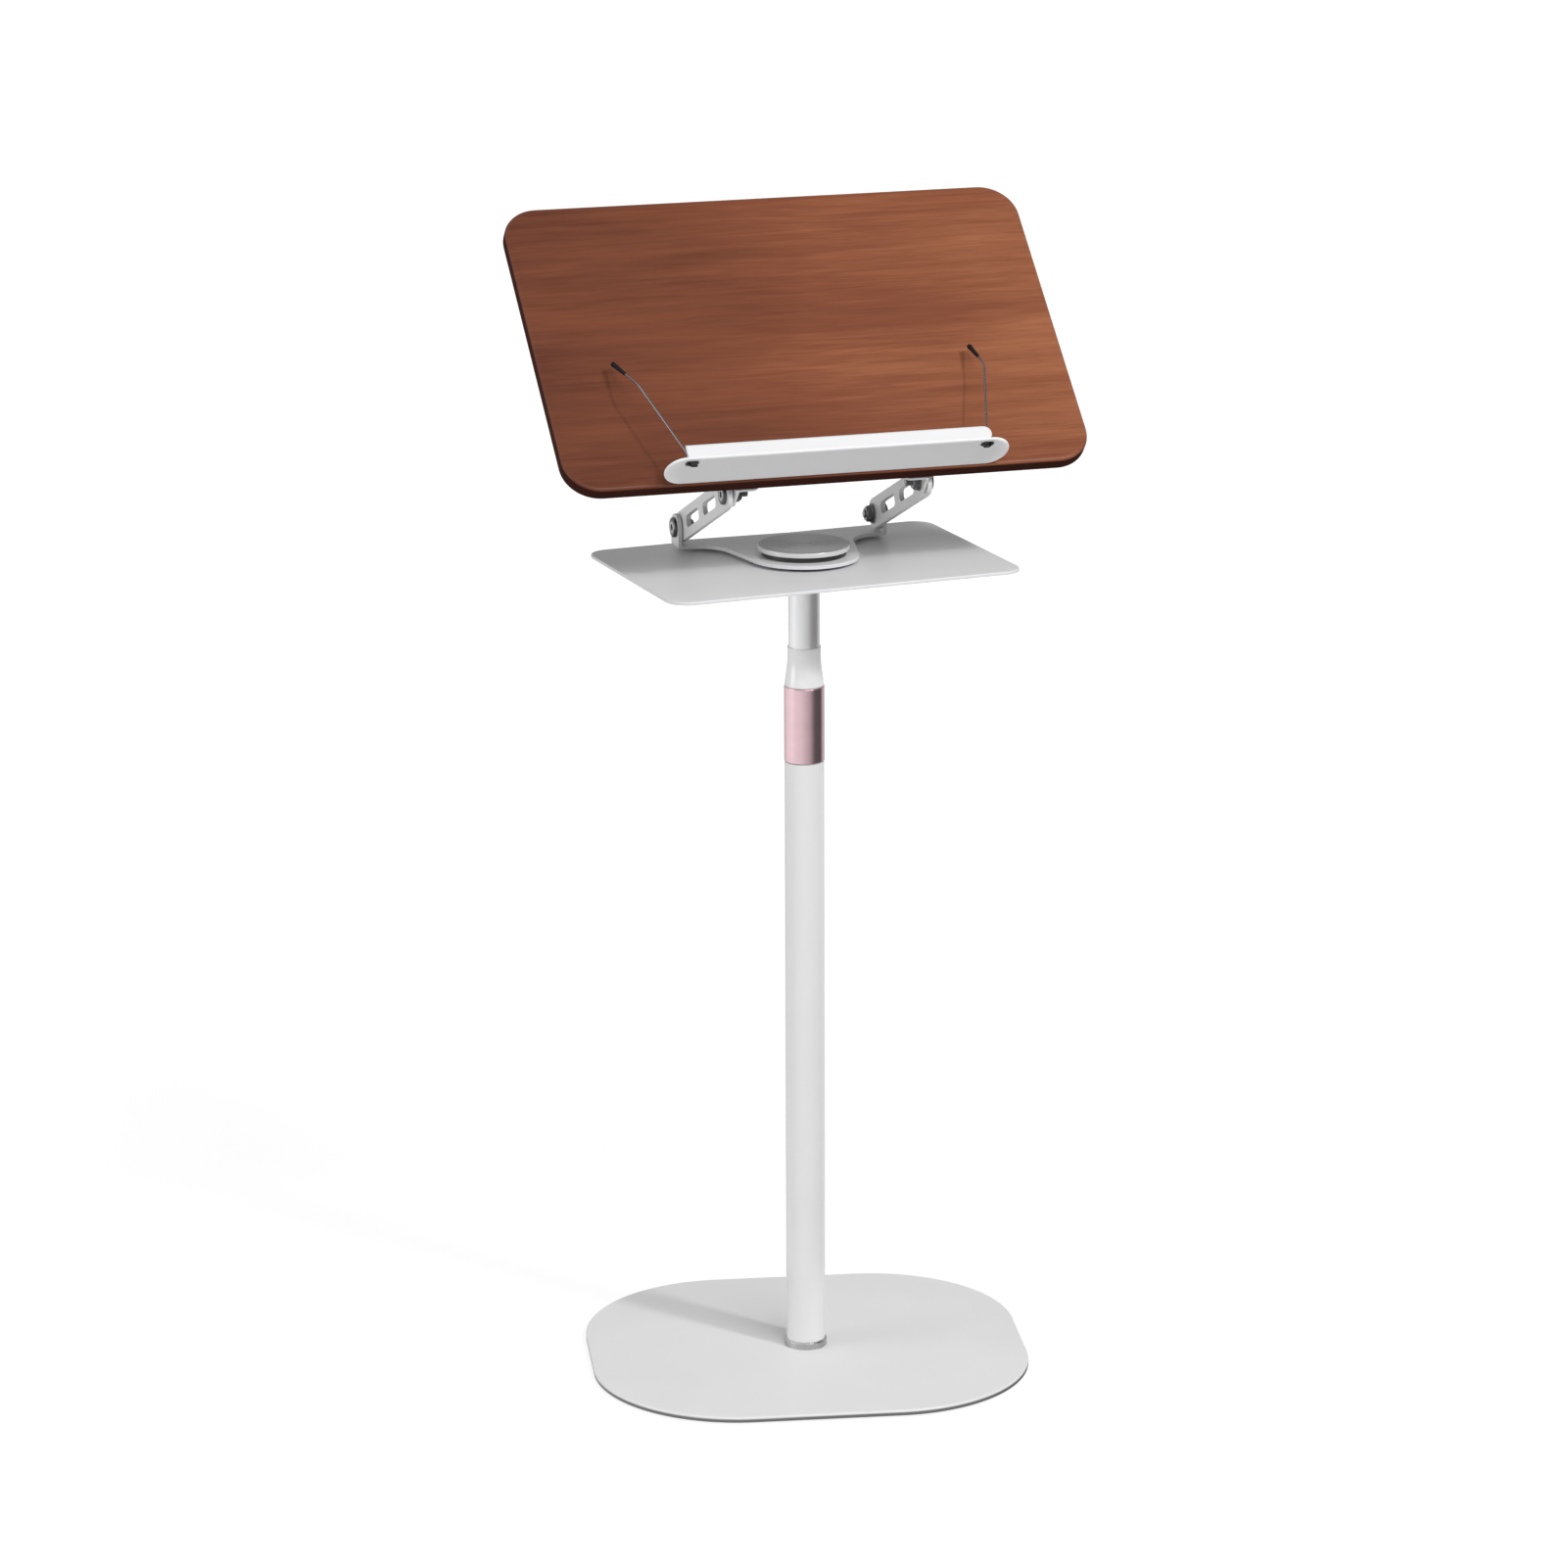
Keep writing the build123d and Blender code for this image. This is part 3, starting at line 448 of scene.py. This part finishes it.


# Grain runs along the board. The coordinates are turned by the tilt, so y runs up the board and z out of it.
# The tone grows from left to right, painted light that is brighter towards the right, and each part of the
# figure adds its noise, less a half, times its share.
def walnutVeneer(look):
    finish, tree, shader, coords = startFinish("walnutVeneer")
    middle = tuple(-onBoard(*look["middle"]))
    moved = addNode(tree, "Mapping", {"Vector": coords, "Location": middle}).outputs["Vector"]
    grain = addNode(tree, "Mapping", {"Vector": moved, "Rotation": (-boardTilt, 0, 0)}).outputs["Vector"]
    split = addNode(tree, "SeparateXYZ", {"Vector": grain})
    drift = noise(tree, grain, look["driftSteps"], 2)
    bent = work(tree, "MULTIPLY", work(tree, "SUBTRACT", drift, 0.5), look["drift"])
    across = work(tree, "ADD", split.outputs["Y"], bent)
    lines = addNode(tree, "CombineXYZ", {"X": split.outputs["X"], "Y": across}).outputs["Vector"]
    # painted light: darker at the left of the board, lighter at the right
    shade = spread(tree, split.outputs["X"], *look["paintedSideLight"], -look["halfWidth"], look["halfWidth"])
    parts = []
    for alongSteps, acrossSteps, detail, share in look["figure"]:
        parts.append(noise(tree, lines, (alongSteps, acrossSteps, 1), detail))
        change = work(tree, "MULTIPLY", work(tree, "SUBTRACT", parts[-1], 0.5), share)
        shade = work(tree, "ADD", shade, change)
    streaks, fineLines, fibres = parts[1:]
    low = mixTone(tree, spread(tree, shade, 0, 1, 0.0, 0.5), tone(look["dark"]), tone(look["mid"]))
    body = mixTone(tree, spread(tree, shade, 0, 1, 0.5, 1.0), low, tone(look["light"]))
    pores = spread(tree, noise(tree, lines, look["pores"], 1), 0, 1, *look["poreRange"])
    pored = mixTone(tree, work(tree, "MULTIPLY", pores, look["poreShare"]), body, tone(look["pore"]))
    face, back = -look["faceDepth"], -look["backDepth"]
    below = spread(tree, split.outputs["Z"], 1, 0, face - look["faceFade"], face)
    behind = spread(tree, split.outputs["Z"], 1, 0, back - look["backFade"], back)
    # the board's edges are darkened: partly their own darker stain, partly painted shade
    edgedWithPaintedShade = mixTone(tree, below, pored, tone(look["edgeStainAndPaintedShade"]))
    dulled = mixTone(tree, spread(tree, streaks, *look["backRange"]), pored, tone(look["back"]))
    matt = spread(tree, below, 0.0, look["edgeDuller"], 0, 1)
    height = work(tree, "SUBTRACT", work(tree, "MULTIPLY", fibres, look["fibreRelief"]), pores)
    fillSockets(tree, shader, {
        "Base Color": mixTone(tree, behind, edgedWithPaintedShade, dulled),
        "Roughness": work(tree, "ADD", varyRoughness(tree, fineLines, look), matt),
        "Normal": relief(tree, height, look["depth"], look["round"]),
        "Specular IOR Level": spread(tree, below, look["faceGloss"], look["edgeGloss"], 0, 1),
        "Coat Weight": spread(tree, below, look["faceCoat"], 0.0, 0, 1),
        "Coat Roughness": look["coatRoughness"],
    })
    return finish


roseLook = {
    "colour": (0.76, 0.54, 0.585), "darker": 0.94, "clouds": (40, 40, 90),
    "roughness": 0.23, "smoother": 0.01, "duller": 0.02,
    "lines": (12, 12, 5200), "depth": 1, "round": 0.6,
}


# Anodised aluminium: fine turning lines round the collar, which run level, and faint clouds.
def roseAnodising(look):
    finish, tree, shader, coords = startFinish("roseAnodising")
    lines = noise(tree, coords, look["lines"], 3)
    cloud = spread(tree, noise(tree, coords, look["clouds"], 3), 0, 1)
    fillSockets(tree, shader, {
        "Base Color": mixTone(tree, cloud, tone(look["colour"], look["darker"]), tone(look["colour"])),
        "Roughness": varyRoughness(tree, lines, look),
        "Normal": relief(tree, lines, look["depth"], look["round"]),
        "Metallic": 1.0,
    })
    return finish


metalLook = {
    "blackZinc": {"colour": (0.105, 0.105, 0.109), "roughness": 0.36, "lines": 900},
    "brightSteel": {"colour": (0.62, 0.62, 0.63), "roughness": 0.26, "lines": 1600},
    "springWire": {"colour": (0.17, 0.17, 0.178), "roughness": 0.26, "lines": 2600},
    "greyRing": {"colour": (0.43, 0.43, 0.43), "roughness": 0.24, "lines": 1400},
}
metalLook["blackZinc"]["bare"] = (0.50, 0.50, 0.51)
metalLook["springWire"]["foot"] = {  # painted shade in the bush holes: the foot of each wire is darkened, up the board from the tilt axle
    "top": -0.00725,
    "fade": 0.0004,
    "colour": (0.02, 0.02, 0.02),
}
everyMetal = {
    "stretch": 0.2, "patches": 90, "worn": 1.25, "wornShare": 0.6,
    "smoother": 0.06, "duller": 0.10, "depth": 6, "round": 0.3,
}


# Bare or plated metal: fine scratches, patches of wear, a slight tint and soft edges, and where a look asks,
# painted shade on the foot of a wire.
def plainMetal(name, look):
    finish, tree, shader, coords = startFinish(name)
    stretched = look["lines"] * look["stretch"]
    scratch = noise(tree, coords, (look["lines"], stretched, stretched), 3)
    wear = spread(tree, noise(tree, coords, look["patches"], 3), 0, look["wornShare"])
    colour = mixTone(tree, wear, tone(look["colour"]), tone(look["colour"], look["worn"]))
    if "bare" in look:
        bare = addNode(tree, "Attribute", {}, attribute_name="bare").outputs["Fac"]
        colour = mixTone(tree, bare, colour, tone(look["bare"]))
    # painted shade: the foot of each wire is darkened where it sits in its bush
    if "foot" in look:
        top = look["foot"]["top"]
        foot = spread(tree, fromTiltAxle(tree, coords, upBoard), 1, 0, top, top + look["foot"]["fade"])
        colour = mixTone(tree, foot, colour, tone(look["foot"]["colour"]))
    fillSockets(tree, shader, {
        "Base Color": colour,
        "Roughness": varyRoughness(tree, scratch, look),
        "Normal": relief(tree, scratch, look["depth"], look["round"]),
        "Metallic": 1.0,
    })
    return finish


mouldLook = {
    "conePlastic": {"colour": (0.88, 0.88, 0.885), "roughness": 0.20, "depth": 1, "gloss": 1.0},
    "darkPlastic": {"colour": (0.020, 0.020, 0.021), "roughness": 0.45, "depth": 12, "gloss": 0.5},
    "greyNylon": {"colour": (0.42, 0.42, 0.42), "roughness": 0.50, "depth": 12, "gloss": 0.5},
    "capRubber": {"colour": (0.006, 0.006, 0.0065), "roughness": 0.60, "depth": 12, "gloss": 0.12},
    "padRubber": {"colour": (0.035, 0.035, 0.036), "roughness": 0.70, "depth": 40, "gloss": 0.5},
}
mouldLook["padRubber"]["sheen"] = 0.15
everyMould = {
    "patches": 60, "paler": 1.06, "lift": 0.004, "smears": 130, "smoother": 0.05, "duller": 0.06,
    "grain": 1800, "round": 0.4, "sheen": 0.0, "sheenRoughness": 0.5,
}


# Moulded plastic or rubber: a fine grain, dull patches where it is handled, and soft edges.
def moulded(name, look):
    finish, tree, shader, coords = startFinish(name)
    patch = spread(tree, noise(tree, coords, look["patches"], 3), 0, 1)
    pale = tone(look["colour"], look["paler"], look["lift"])
    smear = noise(tree, coords, look["smears"], 2)
    fillSockets(tree, shader, {
        "Base Color": mixTone(tree, patch, tone(look["colour"]), pale),
        "Roughness": varyRoughness(tree, smear, look),
        "Normal": relief(tree, noise(tree, coords, look["grain"], 2), look["depth"], look["round"]),
        "Specular IOR Level": look["gloss"],
        "Sheen Weight": look["sheen"],
        "Sheen Roughness": look["sheenRoughness"],
    })
    return finish


# Each look is laid over what its kind of finish shares.
finishes = {name: powderCoat(name, {**everyCoat, **look}) for name, look in coatLook.items()}
finishes.update({name: plainMetal(name, {**everyMetal, **look}) for name, look in metalLook.items()})
finishes.update({name: moulded(name, {**everyMould, **look}) for name, look in mouldLook.items()})
finishes["walnutVeneer"] = walnutVeneer(walnutLook)
finishes["roseAnodising"] = roseAnodising(roseLook)
finishes["spunDisc"] = spunDisc(discLook)
finishes["satinSteel"] = satinSteel(steelLook)

finishOfNode = {
    "base_plate": "baseCoat",
    "base_pads": "padRubber",
    "base_bolt": "blackZinc",
    "tube_plug": "brightSteel",
    "foot_ring": "greyRing",
    "lower_tube": "tubeCoat",
    "thread_bush": "greyNylon",
    "clamp_collet": "greyNylon",
    "lock_collar": "roseAnodising",
    "collar_cone": "conePlastic",
    "upper_tube": "satinSteel",
    "glide_bush": "greyNylon",
    "mast_flange": "shelfCoat",
    "shelf_plate": "shelfCoat",
    "swivel_screws": "blackZinc",
    "swivel_hub": "greyNylon",
    # the slip washer is dark plastic, dark also to stand in for the shade in the gap under the plate's rim:
    # painted shade
    "slip_washer": "darkPlastic",
    "disc_spacer": "darkPlastic",
    "swivel_disc": "spunDisc",
    "hinge_plate": "hingeCoat",
    "left_arm": "armCoat",
    "right_arm": "armCoat",
    "lower_bolts": "blackZinc",
    "lower_nuts": "blackZinc",
    "lower_friction_washers": "greyNylon",
    "lower_inner_washers": "greyNylon",
    "upper_bolts": "blackZinc",
    "upper_nuts": "blackZinc",
    "upper_friction_washers": "greyNylon",
    "left_bracket": "armCoat",
    "right_bracket": "armCoat",
    "bracket_screws": "blackZinc",
    "reading_board": "walnutVeneer",
    "ledge": "ledgeCoat",
    "ledge_screws": "brightSteel",
    "clip_bushes": "darkPlastic",
    "left_clip_wire": "springWire",
    "right_clip_wire": "springWire",
    "left_clip_cap": "capRubber",
    "right_clip_cap": "capRubber",
}


# Gives every CAD node its finish.
def dressNodes(choice):
    for name, piece in nodes.items():
        for place in piece.material_slots:
            place.material = finishes[choice[name]]


dressNodes(finishOfNode)
print("reading stand:", len(finishes), "finishes on", len(nodes), "nodes")

# Fasteners, turned from rows along their axis. Each row is a height and a radius in millimetres, then shares:
# how far the row is a hexagon, how far a cross, how deep it is threaded, and how bare the metal is. A share
# that a row leaves out is zero.
boltHeadRows = (
    (0, 3.0), (0, 7.9), (0.25, 8.2), (1.6, 8.2), (2.1, 8.05), (2.5, 7.65), (2.72, 7.2), (2.8, 6.9),
    (2.8, 5.5), (2.6, 5.25), (2.6, 4.95, 0, 0, 0, 1), (2.8, 4.7, 0, 0, 0, 1), (2.8, 3.2, 0, 0, 0, 1),
    (2.62, 2.8, 1), (1.0, 2.65, 1), (1.0, 1.4, 0, 0, 0, 1), (0.8, 0, 0, 0, 0, 1),
)
nutRows = (
    (0, 0), (0, 7.3), (0.25, 7.6), (1.0, 7.6), (1.4, 7.3), (1.8, 6.7, 1), (4.3, 6.7, 1), (4.8, 6.4, 0.7),
    (5.1, 5.6), (5.85, 5.45, 0, 0, 0, 0.3), (6.0, 5.25, 0, 0, 0, 0.5), (6.0, 3.7, 0, 0, 0, 0.5),
    (5.6, 3.3), (5.5, 0),
)
bracketScrewRows = (
    (-9.5, 0), (-9.3, 0.5), (-8.3, 1.5), (0, 1.5), (0, 2.6), (0.2, 2.8), (1.2, 2.75), (1.8, 2.35),
    (2.1, 1.95), (2.2, 1.75), (2.2, 1.6, 0, 1), (1.3, 1.2, 0, 1), (1.0, 0),
)
ledgeScrewRows = (
    (-8.8, 0), (-8.6, 0.5), (-7.6, 1.7), (0, 1.7), (0, 3.1), (0.15, 3.2), (0.8, 3.2), (1.2, 2.85),
    (1.4, 2.4), (1.4, 1.85), (1.4, 1.7, 0, 1), (0.7, 1.3, 0, 1), (0.5, 0),
)
swivelScrewRows = (
    (-18.5, 0), (-18.5, 1.8), (-18.3, 2.0), (0, 2.0), (0, 3.2), (0.2, 3.4), (2.2, 3.4), (2.5, 3.15),
    (2.6, 2.9), (2.6, 2.0), (2.4, 1.8, 1), (1.2, 1.75, 1), (1.0, 0),
)
thread = {"radius": 3.0, "pitch": 1.0, "depth": 0.3, "length": 9.0, "step": 0.16, "runOut": 0.2}
boltTip = {"length": 0.5, "radius": 2.4, "bare": 0.6}
turning = {
    "columns": 6,  # in a full row
    "sides": 48,
    "sharp": 32,  # degrees, past which an edge stays sharp
    "crossCore": 0.36,  # narrowest part of a cross, as a share of its radius
    "crossPower": 3,
    "firstSide": (0.0, 0.6, 0.8),  # where the flats of the bolts and nuts are counted from
}


# Fills each row up with zeros.
def fillRows(rows):
    return np.array([(*row, *(0,) * (turning["columns"] - len(row))) for row in rows], dtype=float)


# A bolt of that length under its head: a chamfered tip, threaded rows, a plain shank and the head.
def boltRows(tail):
    heights = np.arange(-tail + boltTip["length"], -tail + thread["length"], thread["step"])
    threaded = np.zeros((len(heights), turning["columns"]))
    threaded[:, 0] = heights
    threaded[:, 1] = thread["radius"]
    threaded[:, 4] = np.clip((heights - heights[0]) / boltTip["length"], 0, 1)
    tip = ((-tail, 0, 0, 0, 0, boltTip["bare"]), (-tail, boltTip["radius"], 0, 0, 0, boltTip["bare"]))
    shank = ((-tail + thread["length"] + thread["runOut"], thread["radius"]),)
    return np.concatenate([fillRows(tip), threaded, fillRows(shank), fillRows(boltHeadRows)])


# Radius of a row at an angle: its radius, less the share of a hexagon or a cross, less a thread that climbs
# one pitch a turn. A hexagon's radius is cos 30 over the cosine of the angle from the middle of its side.
def turnRows(rows, sides):
    angle = np.linspace(0, 2 * np.pi, sides, endpoint=False)
    six = np.cos(np.pi / 6) / np.cos(np.mod(angle, np.pi / 3) - np.pi / 6)
    arms = np.abs(np.cos(2 * angle)) ** turning["crossPower"]
    cross = turning["crossCore"] + (1 - turning["crossCore"]) * arms
    shape = 1 + rows[:, 2:3] * (six - 1) + rows[:, 3:4] * (cross - 1)
    climb = np.mod(rows[:, 0:1] / thread["pitch"] - angle / (2 * np.pi), 1.0)
    groove = thread["depth"] * rows[:, 4:5] * np.abs(2 * climb - 1)
    return angle, (rows[:, 1:2] * shape - groove) * millimetre


# Rows of points between two end points, once for each spot, which is a seat and an axis. A point is the
# seat, plus its height along the axis, plus its radius times the cosine and sine of its angle across it.
def turnedPiece(name, rows, spots, finish, sides):
    rows = fillRows(rows)
    angle, radius = turnRows(rows[1:-1], sides)
    count = len(rows) - 2
    height = rows[:, 0] * millimetre
    ring = np.arange(count * sides).reshape(count, sides)
    after = np.roll(ring, -1, axis=1)
    quads = np.stack([ring[:-1], after[:-1], after[1:], ring[1:]], axis=-1).reshape(-1, 4)
    low = count * sides
    lowFan = np.stack([np.full(sides, low), after[0], ring[0]], axis=-1)
    highFan = np.stack([ring[-1], after[-1], np.full(sides, low + 1)], axis=-1)
    points, squares, fans = [], [], []
    for seat, axis in spots:
        axis = np.array(axis, dtype=float) / np.linalg.norm(axis)
        side = np.cross(axis, turning["firstSide"] if abs(axis[0]) > 0.5 else (1.0, 0.0, 0.0))
        side = side / np.linalg.norm(side)
        top = np.cross(axis, side)
        turn = np.cos(angle)[:, None] * side + np.sin(angle)[:, None] * top
        body = height[1:-1, None, None] * axis + radius[:, :, None] * turn
        ends = height[[0, -1], None] * axis
        start = sum(len(group) for group in points)
        points.append(np.concatenate([body.reshape(-1, 3), ends]) + seat)
        squares.append(quads + start)
        fans.append(np.concatenate([lowFan, highFan]) + start)
    mesh = bpy.data.meshes.new(name)
    faces = np.concatenate(squares).tolist() + np.concatenate(fans).tolist()
    mesh.from_pydata(np.concatenate(points).tolist(), [], faces)
    mesh.polygons.foreach_set("use_smooth", np.ones(len(mesh.polygons), dtype=bool))
    mesh.set_sharp_from_angle(angle=math.radians(turning["sharp"]))
    bare = np.concatenate([np.repeat(rows[1:-1, 5], sides), rows[[0, -1], 5]])
    mesh.attributes.new("bare", "FLOAT", "POINT").data.foreach_set("value", np.tile(bare, len(spots)))
    mesh.materials.append(finishes[finish])
    piece = bpy.data.objects.new(name, mesh)
    bpy.context.scene.collection.objects.link(piece)
    return piece


# Spots at both ends of an axle, that many millimetres from its middle, facing outwards or inwards.
def axleEnds(axle, reach, facing):
    return [(axle + (reach * side * millimetre, 0, 0), (side * facing, 0, 0)) for side in (-1, 1)]


outwards, inwards = 1, -1
screwPlaces = {  # millimetres across the board, up it and out of it, from the tilt axle
    "bracket": [(x, -4.5, 13.2) for x in (-72.5, -65.0, 65.0, 72.5)]
    + [(x, 25.0, 13.2) for x in (-68.0, 68.0)],
    "ledge": [(x, 1.9, 30.0) for x in (-101.5, -41.5, 38.5, 98.5)],
    "swivel": [(x, y, -7.5) for x, y in ((-17, 0), (17, 0), (0, -17), (0, 17))],  # from the swivel's place
}
fasteners = {
    "lowerBoltPiece": {
        "rows": boltRows(16.5), "spots": axleEnds(liftAxle, 88.0, outwards),
        "stands": "lower_bolts", "body": "arms", "slot": "black_steel",
    },
    "lowerNutPiece": {
        "rows": nutRows, "spots": axleEnds(liftAxle, 79.0, inwards),
        "stands": "lower_nuts", "body": "arms", "slot": "black_steel",
    },
    "upperBoltPiece": {
        "rows": boltRows(19.0), "spots": axleEnds(tiltAxle, 84.0, outwards),
        "stands": "upper_bolts", "body": "arms", "slot": "black_steel",
    },
    "upperNutPiece": {
        "rows": nutRows, "spots": axleEnds(tiltAxle, 76.5, inwards),
        "stands": "upper_nuts", "body": "arms", "slot": "black_steel",
    },
    "bracketScrewPiece": {
        "rows": bracketScrewRows,
        "spots": [(onBoard(*place), -offBoard) for place in screwPlaces["bracket"]],
        "stands": "bracket_screws", "body": "board", "slot": "black_steel",
    },
    "ledgeScrewPiece": {
        "rows": ledgeScrewRows,
        "spots": [(onBoard(*place), offBoard) for place in screwPlaces["ledge"]],
        "stands": "ledge_screws", "body": "board", "slot": "bright_steel",
    },
    "swivelScrewPiece": {
        "rows": swivelScrewRows,
        "spots": [
            (swivelPlace + millimetre * np.array(place), (0, 0, -1)) for place in screwPlaces["swivel"]
        ],
        "stands": "swivel_screws", "body": "mast", "slot": "black_steel",
    },
}


# Each piece stands for its CAD node, keeps that node's finish and rides on its body.
def fitFasteners(table):
    for name, made in table.items():
        piece = turnedPiece(name, made["rows"], made["spots"], finishOfNode[made["stands"]], turning["sides"])
        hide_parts(made["stands"])
        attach(piece, made["body"])


fitFasteners(fasteners)
print("reading stand:", len(fasteners), "groups of fasteners are turned")
